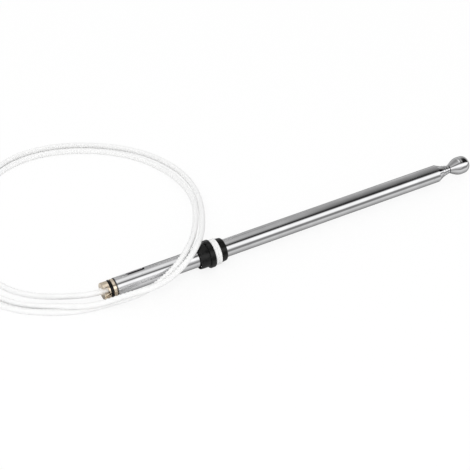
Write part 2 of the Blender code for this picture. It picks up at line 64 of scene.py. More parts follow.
# The cable's route in metres: out of the ferrule, through the fork and twice round over the mast
CABLE_ROUTE = (
    (-0.0944, 0.0000, 0.00775), (-0.1033, 0.0000, 0.00775), (-0.1129, 0.0000, 0.00775),
    (-0.1213, 0.0019, 0.00700), (-0.1288, 0.0064, 0.00520), (-0.1413, 0.0158, 0.00220),
    (-0.1543, 0.0275, 0.00165), (-0.1623, 0.0450, 0.00165), (-0.1629, 0.0720, 0.00165),
    (-0.1518, 0.0990, 0.00165), (-0.1328, 0.1185, 0.00165), (-0.1104, 0.1256, 0.00165),
    (-0.0863, 0.1215, 0.00165), (-0.0634, 0.1088, 0.00165), (-0.0472, 0.0910, 0.00165),
    (-0.0390, 0.0673, 0.00330), (-0.0417, 0.0392, 0.00810), (-0.0471, 0.0262, 0.01080),
    (-0.0561, 0.0109, 0.01360), (-0.0664, -0.0003, 0.01460), (-0.0771, -0.0066, 0.01230),
    (-0.0872, -0.0094, 0.00940), (-0.0976, -0.0097, 0.00670), (-0.1071, -0.0076, 0.00460),
    (-0.1159, -0.0054, 0.00300), (-0.1252, -0.0030, 0.00190), (-0.1351, 0.0003, 0.00165),
    (-0.1463, 0.0059, 0.00165), (-0.1586, 0.0147, 0.00165), (-0.1711, 0.0340, 0.00165),
    (-0.1739, 0.0620, 0.00165), (-0.1648, 0.0930, 0.00165), (-0.1423, 0.1160, 0.00165),
    (-0.1178, 0.1295, 0.00165), (-0.0914, 0.1286, 0.00165), (-0.0669, 0.1175, 0.00165),
    (-0.0464, 0.0995, 0.00165), (-0.0349, 0.0747, 0.00260), (-0.0357, 0.0486, 0.00640),
    (-0.0461, 0.0199, 0.01220), (-0.0551, 0.0049, 0.01560), (-0.0643, -0.0041, 0.01560),
    (-0.0745, -0.0094, 0.01330), (-0.0855, -0.0122, 0.01155), (-0.0946, -0.0118, 0.01045),
    (-0.1025, -0.0096, 0.00900), (-0.1120, -0.0075, 0.00705), (-0.1212, -0.0050, 0.00565),
    (-0.1298, -0.0013, 0.00510), (-0.1373, 0.0041, 0.00390), (-0.1448, 0.0095, 0.00240),
    (-0.1514, 0.0145, 0.00165), (-0.1577, 0.0201, 0.00165), (-0.1675, 0.0370, 0.00165),
    (-0.1697, 0.0640, 0.00165), (-0.1679, 0.0765, 0.00165),
)


def span(node):
    """Where a turned node starts and ends along the mast, and its largest radius."""
    low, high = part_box(node)
    return low.x, high.x, (high.z - low.z) / 2


TUBE_START, TUBE_END, TUBE_R = span("outer_tube")
FITTING_START, FITTING_END, COLLAR_R = span("base_fitting")
HEAD_START, HEAD_END, HEAD_R = span("tip_head")
GROMMET_START, FLANGE_END, FLANGE_R = span("seal_grommet")
BUSH_START, BUSH_END, RING_R = span("seal_bush")
CAP_START, CAP_END, CAP_R = span("seal_cap")
ROD_START, ROD_END, ROD_LIP_R = span("tip_rod")
CABLE_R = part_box("drive_cable")[0].z + 1.60 * MM
AXIS = Vector((0.0, 0.0, TUBE_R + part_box("outer_tube")[0].z))
SECTION_RADII = (3.00 * MM, 2.45 * MM, 1.90 * MM)
BEAD_RADII = (3.15 * MM, 2.75 * MM, 2.40 * MM)
ROD_R = 1.35 * MM
RUN = 0.10 * MM
SECTION_WALL = 0.20 * MM
WINDOW_WIDTH = 3.00 * MM
WINDOW_TURN = math.radians(-22.5)
# Steps of a rounded corner's arc
ARC_STEPS = 5
# Degrees between two faces from which their edge is shaded sharp
SHARP = 40.0
HOLE_X = FITTING_START + 3.10 * MM
HOLE_R = 0.60 * MM
HOLE_TURN = math.radians(11.0)


class MastSizes(PropertyGroup):
    """Sizes of the fine surfaces."""

    tube_sides: IntProperty(name="Sides", description="Sides of a turned piece", default=144, min=24)
    edge_round: FloatProperty(
        name="Edge rounding", description="Radius of turned edges", default=0.10 * MM, unit="LENGTH"
    )
    window_corner: FloatProperty(
        name="Window corner", description="Radius of the window's corners", default=0.50 * MM, unit="LENGTH"
    )
    tooth_pitch: FloatProperty(
        name="Tooth pitch",
        description="Length of one cable tooth and its gap",
        default=2.10 * MM,
        unit="LENGTH",
    )
    tooth_depth: FloatProperty(
        name="Tooth depth", description="Depth of the gap between teeth", default=0.40 * MM, unit="LENGTH"
    )
    tooth_turn: FloatProperty(
        name="Tooth turn",
        description="Angle of the teeth above the inner side of the loop",
        default=math.radians(35.0),
        subtype="ANGLE",
    )


class MastFinishes(PropertyGroup):
    """Colours and roughness of the finishes."""

    chrome: FloatVectorProperty(
        name="Chrome", description="Colour of the chromed pieces", default=(0.80, 0.80, 0.81), subtype="COLOR"
    )
    chrome_roughness: FloatProperty(
        name="Chrome roughness", description="Roughness of clean chrome", default=0.05, subtype="FACTOR"
    )
    brass: FloatVectorProperty(
        name="Brass", description="Colour of the turned brass", default=(0.97, 0.84, 0.67), subtype="COLOR"
    )
    steel: FloatVectorProperty(
        name="Spring steel",
        description="Colour of the contact leaf",
        default=(0.60, 0.57, 0.60),
        subtype="COLOR",
    )
    rubber: FloatVectorProperty(
        name="Rubber",
        description="Colour of the black rubber",
        default=(0.005, 0.005, 0.005),
        subtype="COLOR",
    )
    nylon: FloatVectorProperty(
        name="Nylon", description="Colour of the white plastic", default=(0.945, 0.945, 0.94), subtype="COLOR"
    )


class StudioSettings(PropertyGroup):
    """Camera, table and light."""

    azimuth: FloatProperty(
        name="Azimuth",
        description="Camera's turn round the mast",
        default=math.radians(-27.0),
        subtype="ANGLE",
    )
    elevation: FloatProperty(
        name="Elevation", description="Camera's height angle", default=math.radians(43.5), subtype="ANGLE"
    )
    distance: FloatProperty(
        name="Distance", description="From the aim to the camera", default=0.760, unit="LENGTH"
    )
    field: FloatProperty(
        name="Field of view", description="Across the picture", default=math.radians(19.08), subtype="ANGLE"
    )
    aim: FloatVectorProperty(
        name="Aim",
        description="Point in the middle of the picture",
        default=(-0.03420, 0.00382, 0.01085),
        subtype="TRANSLATION",
    )
    lamp_power: FloatProperty(
        name="Lamp power", description="Power of the soft lamp", default=4.4, unit="POWER"
    )
    surround: FloatProperty(
        name="Surround", description="Level of the light from all round", default=0.84, subtype="FACTOR"
    )


class Value:
    """A socket of a node tree. Arithmetic on it adds Math nodes to the tree."""

    def __init__(self, nodes, socket):
        self.nodes = nodes
        self.socket = socket

    def math(self, operation, *values):
        """Add a Math node over these values."""
        return self.nodes.add("ShaderNodeMath", {"operation": operation}, dict(enumerate(values)))

    def __add__(self, other):
        return self.math("ADD", self, other)

    def __radd__(self, other):
        return self.math("ADD", other, self)

    def __sub__(self, other):
        return self.math("SUBTRACT", self, other)

    def __rsub__(self, other):
        return self.math("SUBTRACT", other, self)

    def __mul__(self, other):
        return self.math("MULTIPLY", self, other)

    def __pow__(self, other):
        return self.math("POWER", self, other)


class Nodes:
    """A node tree that is written as expressions."""

    def __init__(self, tree):
        self.tree = tree

    def add(self, kind, settings=None, inputs=None, output=0):
        """Add a node: its settings first, then the number, colour or link of each socket."""
        node = self.tree.nodes.new(kind)
        for name, setting in (settings or {}).items():
            if name == "stops":
                self.fill_ramp(node.color_ramp, setting)
            else:
                setattr(node, name, setting)
        for socket, value in (inputs or {}).items():
            self.feed(node.inputs[socket], value)
        return Value(self, node.outputs[output])

    def feed(self, socket, value):
        """Set a socket to a number or colour, or link it to a value."""
        if isinstance(value, Value):
            self.tree.links.new(value.socket, socket)
        else:
            socket.default_value = value

    def fill_ramp(self, ramp, stops):
        """Give a colour ramp its stops, as pairs of place and grey level."""
        while len(ramp.elements) < len(stops):
            ramp.elements.new(1.0)
        for element, (place, level) in zip(ramp.elements, stops):
            element.position = place
            element.color = (level, level, level, 1.0)

    def mix(self, factor, first, second):
        """Mix two colours."""
        inputs = {0: factor, 6: first, 7: second}
        return self.add("ShaderNodeMix", {"data_type": "RGBA"}, inputs, 2)

    def step(self, value, low, high):
        """Rise smoothly from 0 at low to 1 at high."""
        inputs = {"Value": value, "From Min": low, "From Max": high}
        return self.add("ShaderNodeMapRange", {"interpolation_type": "SMOOTHSTEP"}, inputs)

    def turned(self, angle):
        """The object's own coordinates turned about the mast's axis: along it, across and outwards."""
        place = self.add("ShaderNodeTexCoord", output="Object")
        x, y, z = (self.add("ShaderNodeSeparateXYZ", None, {"Vector": place}, axis) for axis in "XYZ")
        c, s = math.cos(angle), math.sin(angle)
        return x, y * c + (z - AXIS.z) * s, (z - AXIS.z) * c - y * s

    def noise(self, scale, stretch=(1.0, 1.0, 1.0), detail=3.0):
        """Noise on the object's own coordinates, with grains of about 1 / scale metres."""
        place = self.add("ShaderNodeTexCoord", output="Object")
        place = self.add("ShaderNodeVectorMath", {"operation": "MULTIPLY"}, {0: place, 1: stretch})
        return self.add("ShaderNodeTexNoise", None, {"Vector": place, "Scale": scale, "Detail": detail})


class Finish(Nodes):
    """A material round one Principled shader."""

    def __init__(self, name):
        self.material = bpy.data.materials.new(name)
        self.material.use_nodes = True
        super().__init__(self.material.node_tree)
        self.shader = self.tree.nodes["Principled BSDF"]

    def set(self, **inputs):
        """Set the shader's sockets by name, with _ for a space."""
        for name, value in inputs.items():
            self.feed(self.shader.inputs[name.replace("_", " ")], value)

    def bump(self, height, distance):
        """Raise the surface by height times distance."""
        raised = self.add("ShaderNodeBump", None, {"Distance": distance, "Height": height})
        self.feed(self.shader.inputs["Normal"], raised)


def shade(colour, factor):
    """A colour made darker or lighter, with full alpha."""
    return (*(min(1.0, c * factor) for c in colour), 1.0)


def chrome_finish(finishes):
    """Bright plate with faint drawing lines along the mast, smudges, small flecks and painted shade on the
    cut end next to the collar.
    """
    finish = Finish("chrome_plate")
    lines = finish.noise(4000.0, (0.01, 1.0, 1.0), 2.0)
    smudge = finish.noise(110.0)
    fleck = finish.step(finish.noise(1500.0, detail=1.0), 0.74, 0.80)
    cloud = finish.step(smudge, 0.35, 0.7)
    colour = finish.mix(cloud, shade(finishes.chrome, 0.93), shade(finishes.chrome, 1.03))
    colour = finish.mix(fleck * 0.6, colour, shade(finishes.chrome, 0.5))
    x, _, _ = finish.turned(0.0)
    # Painted shade: the chrome turns dark on the tube's cut end next to the brass collar, where this mask is
    # 0.
    unshaded = finish.step(x, TUBE_START + 0.25 * MM, TUBE_START + 0.65 * MM)
    dull = finish.step(smudge, 0.5, 0.8) * 0.04 + lines * 0.03 + fleck * 0.2
    finish.set(
        Base_Color=finish.mix(unshaded, shade(finishes.chrome, 0.12), colour),
        Metallic=1.0,
        Roughness=finishes.chrome_roughness + dull,
    )
    finish.bump(lines, 0.0015 * MM)
    return finish.material


def brass_finish(finishes):
    """Pale turned brass: fine tool rings round the mast, a dull bloom in patches and painted shade in and
    round the side hole.
    """
    finish = Finish("turned_brass")
    rings = finish.noise(5000.0, (1.0, 0.02, 0.02), 2.0)
    bloom = finish.step(finish.noise(420.0), 0.42, 0.68)
    colour = finish.mix(bloom, shade(finishes.brass, 1.03), shade(finishes.brass, 0.93))
    # Painted shade: the brass is made nearly black in and just round the side hole, as if the hole's inside
    # lay in shade.
    x, across, outwards = finish.turned(math.pi / 2 - HOLE_TURN)
    along = x - HOLE_X
    apart = (along * along + across * across) ** 0.5
    painted_hole_shade = (1.0 - finish.step(apart, HOLE_R * 0.95, HOLE_R * 1.2)) * finish.step(outwards, 0.0, COLLAR_R / 2)
    finish.set(
        Base_Color=finish.mix(painted_hole_shade, colour, shade(finishes.brass, 0.03)),
        Metallic=1.0,
        Roughness=0.16 + bloom * 0.08 + rings * 0.06,
    )
    finish.bump(rings, 0.006 * MM)
    return finish.material


def steel_finish(finishes):
    """Rolled spring steel: a grain along the mast, a faint temper tint and painted shade over its front half,
    for the shaded gap beside the window's edge.
    """
    finish = Finish("rolled_steel")
    grain = finish.noise(5000.0, (0.02, 1.0, 1.0))
    tint = finish.noise(300.0)
    colour = finish.mix(tint, shade(finishes.steel, 0.85), shade(finishes.steel, 1.10))
    _, across, _ = finish.turned(WINDOW_TURN)
    # Painted shade: where this mask is 0, over the leaf's front half, the steel is made dark and not
    # metallic.
    unshaded = finish.step(across, -0.10 * MM, 0.40 * MM)
    finish.set(
        Base_Color=finish.mix(unshaded, shade(finishes.steel, 0.03), colour),
        Metallic=unshaded,
        Roughness=0.26 + grain * 0.18,
        Specular_IOR_Level=0.0,
    )
    finish.bump(grain, 0.004 * MM)
    return finish.material


def rubber_finish(finishes):
    """Black moulded rubber with a fine grain, worn lighter in patches, and a little dust."""
    finish = Finish("moulded_rubber")
    grain = finish.noise(5200.0, detail=4.0)
    wear = finish.step(finish.noise(260.0, detail=4.0), 0.45, 0.75)
    dust = finish.step(finish.noise(2600.0, detail=1.0), 0.70, 0.78)
    colour = finish.mix(wear, shade(finishes.rubber, 0.6), shade(finishes.rubber, 3.0))
    finish.set(
        Base_Color=finish.mix(dust * 0.35, colour, shade(finishes.rubber, 6.0)),
        Roughness=0.20 + wear * 0.14 + grain * 0.08,
        Specular_IOR_Level=0.30,
    )
    finish.bump(grain, 0.03 * MM)
    return finish.material


def nylon_finish(finishes, name, grain_scale):
    """White moulded nylon, a little uneven in tone, with a fine satin grain."""
    finish = Finish(name)
    grain = finish.noise(grain_scale)
    tone = finish.noise(150.0)
    finish.set(
        Base_Color=finish.mix(tone, shade(finishes.nylon, 0.97), shade(finishes.nylon, 1.03)),
        Roughness=0.34 + grain * 0.14,
        Subsurface_Weight=0.60,
        Subsurface_Scale=1.20 * MM,
        Subsurface_Radius=(1.0, 1.0, 1.0),
    )
    finish.bump(grain, 0.010 * MM)
    return finish.material


FINISH_MAKERS = {
    "chrome_plate": chrome_finish,
    "turned_brass": brass_finish,
    "rolled_steel": steel_finish,
    "moulded_rubber": rubber_finish,
    "moulded_nylon": lambda finishes: nylon_finish(finishes, "moulded_nylon", 4200.0),
    "cable_nylon": lambda finishes: nylon_finish(finishes, "cable_nylon", 2600.0),
}


def finish_named(context, name):
    """The material of that name, which none of the CAD's own materials has, made on its first use."""
    found = bpy.data.materials.get(name)
    return found or FINISH_MAKERS[name](context.scene.mast_finishes)


def rounded(corners, support=0.04 * MM):
    """Outline through the corners (x, radius, rounding), each corner a tangent arc between support points.

    With unit directions u and v from the corner to its neighbours and half their angle h, the arc of radius q
    starts at q / tan(h) along u, ends as far along v, and has its centre at q / sin(h) along u + v.
    A support point on each side keeps the shading of the flat stretches flat. A rounding of 0 is left sharp.
    """
    points = np.array([corner[:2] for corner in corners])
    outline = []
    for index, (_, _, radius) in enumerate(corners):
        here = points[index]
        if radius == 0.0:
            outline.append(here[None])
            continue
        before = points[index - 1] - here
        after = points[(index + 1) % len(points)] - here
        u, v = before / np.linalg.norm(before), after / np.linalg.norm(after)
        half = np.arccos(np.clip(u @ v, -1.0, 1.0)) / 2
        reach = radius / np.tan(half)
        middle = (u + v) / np.linalg.norm(u + v)
        centre = here + middle * radius / np.sin(half)
        first, last = here + u * reach - centre, here + v * reach - centre
        turn = np.arctan2(first[0] * last[1] - first[1] * last[0], first @ last)
        angle = np.linspace(0.0, turn, ARC_STEPS + 1)[:, None]
        swing = np.concatenate([-first[1:], first[:1]])
        arc = centre + first * np.cos(angle) + swing * np.sin(angle)
        outline += [(here + u * (reach + support))[None], arc, (here + v * (reach + support))[None]]
    return np.concatenate(outline)


def turned_surface(outline, sides):
    """Turn an outline of (x, radius) points about the mast's axis.

    The point at angle a is (x, -radius sin a, radius cos a) from the axis. An outline whose ends lie on the
    axis closes there in two fans, and any other closes on itself in a ring.
    """
    solid_core = outline[0, 1] == 0.0
    rings = outline[1:-1] if solid_core else outline
    count = len(rings)
    angle = np.arange(sides) * math.tau / sides
    x = np.repeat(rings[:, 0], sides)
    y = -np.outer(rings[:, 1], np.sin(angle)).ravel()
    z = np.outer(rings[:, 1], np.cos(angle)).ravel()
    points = np.column_stack([x, y, z])
    ring, side = np.meshgrid(np.arange(count - solid_core), np.arange(sides), indexing="ij")
    ahead, beside = (ring + 1) % count, (side + 1) % sides
    corners = (ring * sides + side, ahead * sides + side, ahead * sides + beside, ring * sides + beside)
    faces = np.stack([corner.ravel() for corner in corners], axis=1).tolist()
    if solid_core:
        ends = [(outline[0, 0], 0.0, 0.0), (outline[-1, 0], 0.0, 0.0)]
        points = np.concatenate([points, ends])
        here = np.arange(sides)
        there = (here + 1) % sides
        first, last = np.full(sides, count * sides), np.full(sides, count * sides + 1)
        top = (count - 1) * sides
        faces += np.stack([first, here, there], axis=1).tolist()
        faces += np.stack([last, top + there, top + here], axis=1).tolist()
    return points + np.array(AXIS), faces


def put_mesh(name, points, faces, material, sharp=SHARP):
    """Make an object at the origin from points and faces, smooth up to the sharp angle, facing outwards."""
    mesh = bpy.data.meshes.new(name)
    mesh.from_pydata(points.tolist(), [], faces)
    first, second, third = points[np.array([face[:3] for face in faces])].transpose(1, 0, 2)
    if np.einsum("ij,ij->i", first, np.cross(second, third)).sum() < 0.0:
        mesh.flip_normals()
    mesh.shade_smooth()
    mesh.set_sharp_from_angle(angle=math.radians(sharp))
    mesh.materials.append(material)
    piece = bpy.data.objects.new(name, mesh)
    bpy.context.scene.collection.objects.link(piece)
    return piece


def settle(piece, body, node):
    """Let a finished piece ride on its body in place of its CAD node."""
    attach(piece, body)
    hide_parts(node)


def turned_piece(context, name, corners, finish, body, node):
    """A turned piece in place of a CAD node."""
    sides = context.scene.mast_sizes.tube_sides
    points, faces = turned_surface(rounded(corners), sides)
    piece = put_mesh(name, points, faces, finish_named(context, finish))
    settle(piece, body, node)
    return piece


def cut_away(piece, points, faces):
    """Cut a closed shape out of a piece and keep the result as the piece's mesh."""
    tool = put_mesh("cutting_tool", points, faces, piece.data.materials[0])
    modifier = piece.modifiers.new("cut", "BOOLEAN")
    modifier.operation = "DIFFERENCE"
    modifier.solver = "EXACT"
    modifier.object = tool
    apply_modifiers(piece)
    bpy.data.objects.remove(tool)


def apply_modifiers(piece):
    """Put what the modifiers make into the piece's own mesh."""
    graph = bpy.context.evaluated_depsgraph_get()
    mesh = bpy.data.meshes.new_from_object(piece.evaluated_get(graph))
    piece.modifiers.clear()
    piece.data = mesh


def prism(outline, low, high, frame_axes):
    """A straight prism: an outline in the plane of two axes, carried along the third from low to high."""
    across, up, along = (np.array(axis, float) for axis in frame_axes)
    flat = outline[:, :1] * across + outline[:, 1:] * up
    points = np.concatenate([flat + along * low, flat + along * high])
    count = len(outline)
    here = np.arange(count)
    there = (here + 1) % count
    faces = np.stack([here, there, there + count, here + count], axis=1).tolist()
    faces += [here[::-1].tolist(), (here + count).tolist()]
    return points + np.array(AXIS), faces


class MAST_OT_outer_tube(Operator):
    """Add the chromed outer tube with its swaged mouth and its window."""

    bl_idname = "mast.outer_tube"
    bl_label = "Outer tube"

    WALL = 0.50 * MM
    MOUTH_WALL = 0.40 * MM
    MOUTH_CONE = 3.20 * MM
    CONE_ROUND = 0.60 * MM
    BORE_ROUND = 0.40 * MM
    WINDOW_START = 7.60 * MM
    WINDOW_LENGTH = 10.30 * MM

    def execute(self, context):
        sizes = context.scene.mast_sizes
        bore = TUBE_R - self.WALL
        mouth = SECTION_RADII[0] + RUN
        cone = TUBE_END - self.MOUTH_CONE
        edge = sizes.edge_round
        corners = [
            (TUBE_START, bore, edge),
            (TUBE_START, TUBE_R, edge),
            (cone, TUBE_R, self.CONE_ROUND),
            (TUBE_END, mouth + self.MOUTH_WALL, edge),
            (TUBE_END, mouth, edge),
            (TUBE_END - self.MOUTH_WALL, mouth, edge),
            (cone, bore, self.BORE_ROUND),
        ]
        tube = turned_piece(
            context, "outer_tube_chromed", corners, "chrome_plate", "mast", "outer_tube"
        )
        start = TUBE_START + self.WINDOW_START
        half = WINDOW_WIDTH / 2
        corner = sizes.window_corner
        outline = rounded(
            [
                (start, -half, corner),
                (start + self.WINDOW_LENGTH, -half, corner),
                (start + self.WINDOW_LENGTH, half, corner),
                (start, half, corner),
            ]
        )
        c, s = math.cos(WINDOW_TURN), math.sin(WINDOW_TURN)
        cut_away(tube, *prism(outline, 0.0, TUBE_R + self.WALL, ((1, 0, 0), (0, c, s), (0, -s, c))))
        return {"FINISHED"}


class MAST_OT_contact_leaf(Operator):
    """Add the spring leaf that fills the window."""

    bl_idname = "mast.contact_leaf"
    bl_label = "Contact leaf"

    THICKNESS = 0.30 * MM
    TOP_R = 4.85 * MM
    END_R = 4.04 * MM
    TUCK = 1.40 * MM
    SIDE_GAP = 0.35 * MM
    SLOPE = 0.90 * MM
    BEND = 0.35 * MM
    END_ROUND = 0.08 * MM
    SUPPORT = 0.01 * MM

    def execute(self, context):
        low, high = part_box("contact_leaf")
        top, under = self.TOP_R, self.END_R
        half = WINDOW_WIDTH / 2 - self.SIDE_GAP
        left = low.x + self.TUCK + self.SIDE_GAP
        right = high.x - self.TUCK - self.SIDE_GAP
        upper = [
            (low.x, under, self.END_ROUND),
            (left, under, self.BEND),
            (left + self.SLOPE, top, self.BEND),
            (right - self.SLOPE, top, self.BEND),
            (right, under, self.BEND),
            (high.x, under, self.END_ROUND),
        ]
        lower = [(x, z - self.THICKNESS, rounding) for x, z, rounding in reversed(upper)]
        outline = rounded(upper + lower, self.SUPPORT)
        c, s = math.cos(WINDOW_TURN), math.sin(WINDOW_TURN)
        points, faces = prism(outline, -half, half, ((1, 0, 0), (0, -s, c), (0, c, s)))
        leaf = put_mesh("contact_leaf_steel", points, faces, finish_named(context, "rolled_steel"))
        settle(leaf, "mast", "contact_leaf")
        return {"FINISHED"}


class MAST_OT_base_fitting(Operator):
    """Add the slotted brass fitting and its O-ring."""

    bl_idname = "mast.base_fitting"
    bl_label = "Base fitting"

    FORK_LENGTH = 3.20 * MM
    FORK_R = 4.70 * MM
    FORK_SLOT = 3.60 * MM
    FORK_TURN = math.radians(-43.0)
    LAND = 0.65 * MM
    GROOVE = 1.70 * MM
    GROOVE_R = 3.45 * MM
    COLLAR = 1.65 * MM
    SHANK_R = 4.40 * MM
    CABLE_BORE = 1.95 * MM
    FORK_ROUND = 0.30 * MM
    COLLAR_ROUND = 0.15 * MM
    EDGE = 0.06 * MM
    BEVEL_FROM = math.radians(50.0)
    HOLE_SIDES = 32
    WIRE_SIDES = 28

    def execute(self, context):
        start = FITTING_START
        groove = start + self.FORK_LENGTH + self.LAND
        collar = groove + self.GROOVE
        face = collar + self.COLLAR
        edge = context.scene.mast_sizes.edge_round
        corners = [
            (start, self.CABLE_BORE, edge),
            (start, self.FORK_R, self.FORK_ROUND),
            (groove, self.FORK_R, edge),
            (groove, self.GROOVE_R, edge),
            (collar, self.GROOVE_R, edge),
            (collar, COLLAR_R, self.COLLAR_ROUND),
            (face, COLLAR_R, self.COLLAR_ROUND),
            (face, self.SHANK_R, edge),
            (FITTING_END, self.SHANK_R, edge),
            (FITTING_END, self.CABLE_BORE, edge),
        ]
        fitting = turned_piece(
            context, "base_fitting_brass", corners, "turned_brass", "mast", "base_fitting"
        )
        half = self.FORK_SLOT / 2
        slot = np.array([(-COLLAR_R, -half), (COLLAR_R, -half), (COLLAR_R, half), (-COLLAR_R, half)])
        c, s = math.cos(self.FORK_TURN), math.sin(self.FORK_TURN)
        root = start + self.FORK_LENGTH
        cut_away(fitting, *prism(slot, start - self.LAND, root, ((0, c, s), (0, -s, c), (1, 0, 0))))
        angle = np.linspace(0.0, math.tau, self.HOLE_SIDES, endpoint=False)
        circle = np.column_stack([np.cos(angle), np.sin(angle)]) * HOLE_R
        circle[:, 0] += HOLE_X
        c, s = math.cos(HOLE_TURN), math.sin(HOLE_TURN)
        hole = prism(circle, self.CABLE_BORE, 2 * self.FORK_R, ((1, 0, 0), (0, s, c), (0, -c, s)))
        cut_away(fitting, *hole)
        bevel = fitting.modifiers.new("edges", "BEVEL")
        bevel.width = self.EDGE
        bevel.segments = 2
        bevel.limit_method = "ANGLE"
        bevel.angle_limit = self.BEVEL_FROM
        fitting.data.set_sharp_from_angle(angle=math.radians(SHARP))
        self.add_ring(context, (groove + collar) / 2)
        return {"FINISHED"}

    def add_ring(self, context, middle):
        """The O-ring: a circle of (x, radius) points turned about the mast."""
        low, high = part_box("base_o_ring")
        wire = (high.x - low.x) / 2
        centre = (high.z - low.z) / 2 - wire
        angle = np.linspace(0.0, math.tau, self.WIRE_SIDES, endpoint=False)
        outline = np.column_stack([middle + wire * np.cos(angle), centre + wire * np.sin(angle)])
        points, faces = turned_surface(outline, context.scene.mast_sizes.tube_sides)
        ring = put_mesh("o_ring_rubber", points, faces, finish_named(context, "moulded_rubber"))
        settle(ring, "mast", "base_o_ring")


class MAST_OT_inner_sections(Operator):
    """Add the inner tubes with their stepped beads, and the finishes of the pieces at their feet."""

    bl_idname = "mast.inner_sections"
    bl_label = "Inner sections"

    BEAD = 1.40 * MM
    MOUTH = 2.40 * MM
    LIP = 0.50 * MM
    LIP_HEIGHT = 0.12 * MM
    BEAD_ROUND = 0.30 * MM
    # The bead's shoulder rounds off at most this share of its height
    SHOULDER_SHARE = 0.95
    FOOT_FINISHES = {
        "section_2_foot_bush": "moulded_nylon",
        "section_2_contact_sleeve": "turned_brass",
        "section_3_guide_sleeve": "turned_brass",
        "section_4_guide_sleeve": "turned_brass",
        "tip_rod_guide_sleeve": "turned_brass",
        "cable_ferrule": "turned_brass",
    }

    def execute(self, context):
        inner_radii = (*SECTION_RADII[1:], ROD_R)
        for number, (radius, inner, bead) in enumerate(zip(SECTION_RADII, inner_radii, BEAD_RADII), 2):
            self.add_section(context, f"section_{number}", radius, inner + RUN, bead)
        for node, name in self.FOOT_FINISHES.items():
            slots = bpy.data.objects[node].material_slots
            slots[0].material = finish_named(context, name)
        return {"FINISHED"}

    def add_section(self, context, body, radius, mouth, bead):
        """One tube: a lip at the foot, a thin wall, and a rolled bead with a narrow mouth."""
        start, end, _ = span(body + "_tube")
        edge = context.scene.mast_sizes.edge_round / 2
        bore = radius - SECTION_WALL
        corners = [
            (start, bore, edge),
            (start, radius + self.LIP_HEIGHT, edge),
            (start + self.LIP, radius + self.LIP_HEIGHT, edge),
            (start + self.LIP, radius, 0.0),
            (end - self.BEAD, radius, 0.0),
            (end - self.BEAD, bead, min(self.BEAD_ROUND, (bead - radius) * self.SHOULDER_SHARE)),
            (end, bead, self.BEAD_ROUND),
            (end, mouth, edge),
            (end - self.MOUTH, mouth, edge),
            (end - self.MOUTH, bore, edge),
        ]
        turned_piece(
            context, body + "_chromed", corners, "chrome_plate", body, body + "_tube"
        )


class MAST_OT_tip(Operator):
    """Add the solid rod and the domed head."""

    bl_idname = "mast.tip"
    bl_label = "Rod and head"

    STUB_R = 0.90 * MM
    STUB = 4.00 * MM
    LIP = 0.50 * MM
    NECK_R = 2.55 * MM
    NECK = 0.15 * MM
    FLARE = 6.40 * MM
    SWELL = 1.09
    END_R = 5.04 * MM
    DOME = 4.15 * MM
    CROWN = 0.05 * MM
    TAPER = 1.6
    BORE_GAP = 0.10 * MM
    BORE_ROUND = 0.15 * MM
    NECK_ROUND = 0.20 * MM
    FLARE_POINTS = 28
    EDGE_POINTS = 24
    CROWN_POINTS = 10

    def execute(self, context):
        edge = context.scene.mast_sizes.edge_round
        lip = ROD_START + self.STUB
        corners = [
            (ROD_START, 0.0, 0.0),
            (ROD_START, self.STUB_R, edge),
            (lip, self.STUB_R, edge),
            (lip, ROD_LIP_R, edge / 2),
            (lip + self.LIP, ROD_LIP_R, edge / 2),
            (lip + self.LIP, ROD_R, 0.0),
            (ROD_END, ROD_R, edge),
            (ROD_END, 0.0, 0.0),
        ]
        turned_piece(context, "tip_rod_chromed", corners, "chrome_plate", "tip", "tip_rod")
        self.add_head(context)
        return {"FINISHED"}

    def add_head(self, context):
        """The head: its radius swells from the neck as a power of a sine, narrows and ends in a dome."""
        share = np.linspace(0.0, 1.0, self.FLARE_POINTS)
        flare_start = HEAD_START + self.NECK
        flare_end = flare_start + self.FLARE
        swell = self.NECK_R + (HEAD_R - self.NECK_R) * np.sin(share * math.pi / 2) ** self.SWELL
        flare = np.column_stack([flare_start + share * self.FLARE, swell])
        dome = HEAD_END - self.DOME
        taper = HEAD_R - (HEAD_R - self.END_R) * share[1:] ** self.TAPER
        barrel = np.column_stack([flare_end + (dome - flare_end) * share[1:], taper])
        angle = np.linspace(0.0, math.pi / 2, self.EDGE_POINTS)[1:]
        edge = np.column_stack(
            [dome + (self.DOME - self.CROWN) * np.sin(angle), self.END_R - self.DOME * (1 - np.cos(angle))]
        )
        flat_r = self.END_R - self.DOME
        down = np.linspace(1.0, 0.0, self.CROWN_POINTS)[1:]
        crown = np.column_stack([HEAD_END - self.CROWN * down**2, flat_r * down])
        bore = ROD_R + self.BORE_GAP
        floor = ROD_END + self.BORE_GAP
        inside = rounded(
            [
                (floor, 0.0, 0.0),
                (floor, bore, 0.0),
                (HEAD_START, bore, self.BORE_ROUND),
                (HEAD_START, self.NECK_R, self.NECK_ROUND),
                (flare_start, self.NECK_R, 0.0),
            ]
        )
        outline = np.concatenate([inside[:-1], flare, barrel, edge, crown])
        points, faces = turned_surface(outline, context.scene.mast_sizes.tube_sides)
        head = put_mesh("tip_head_chromed", points, faces, finish_named(context, "chrome_plate"))
        settle(head, "tip", "tip_head")


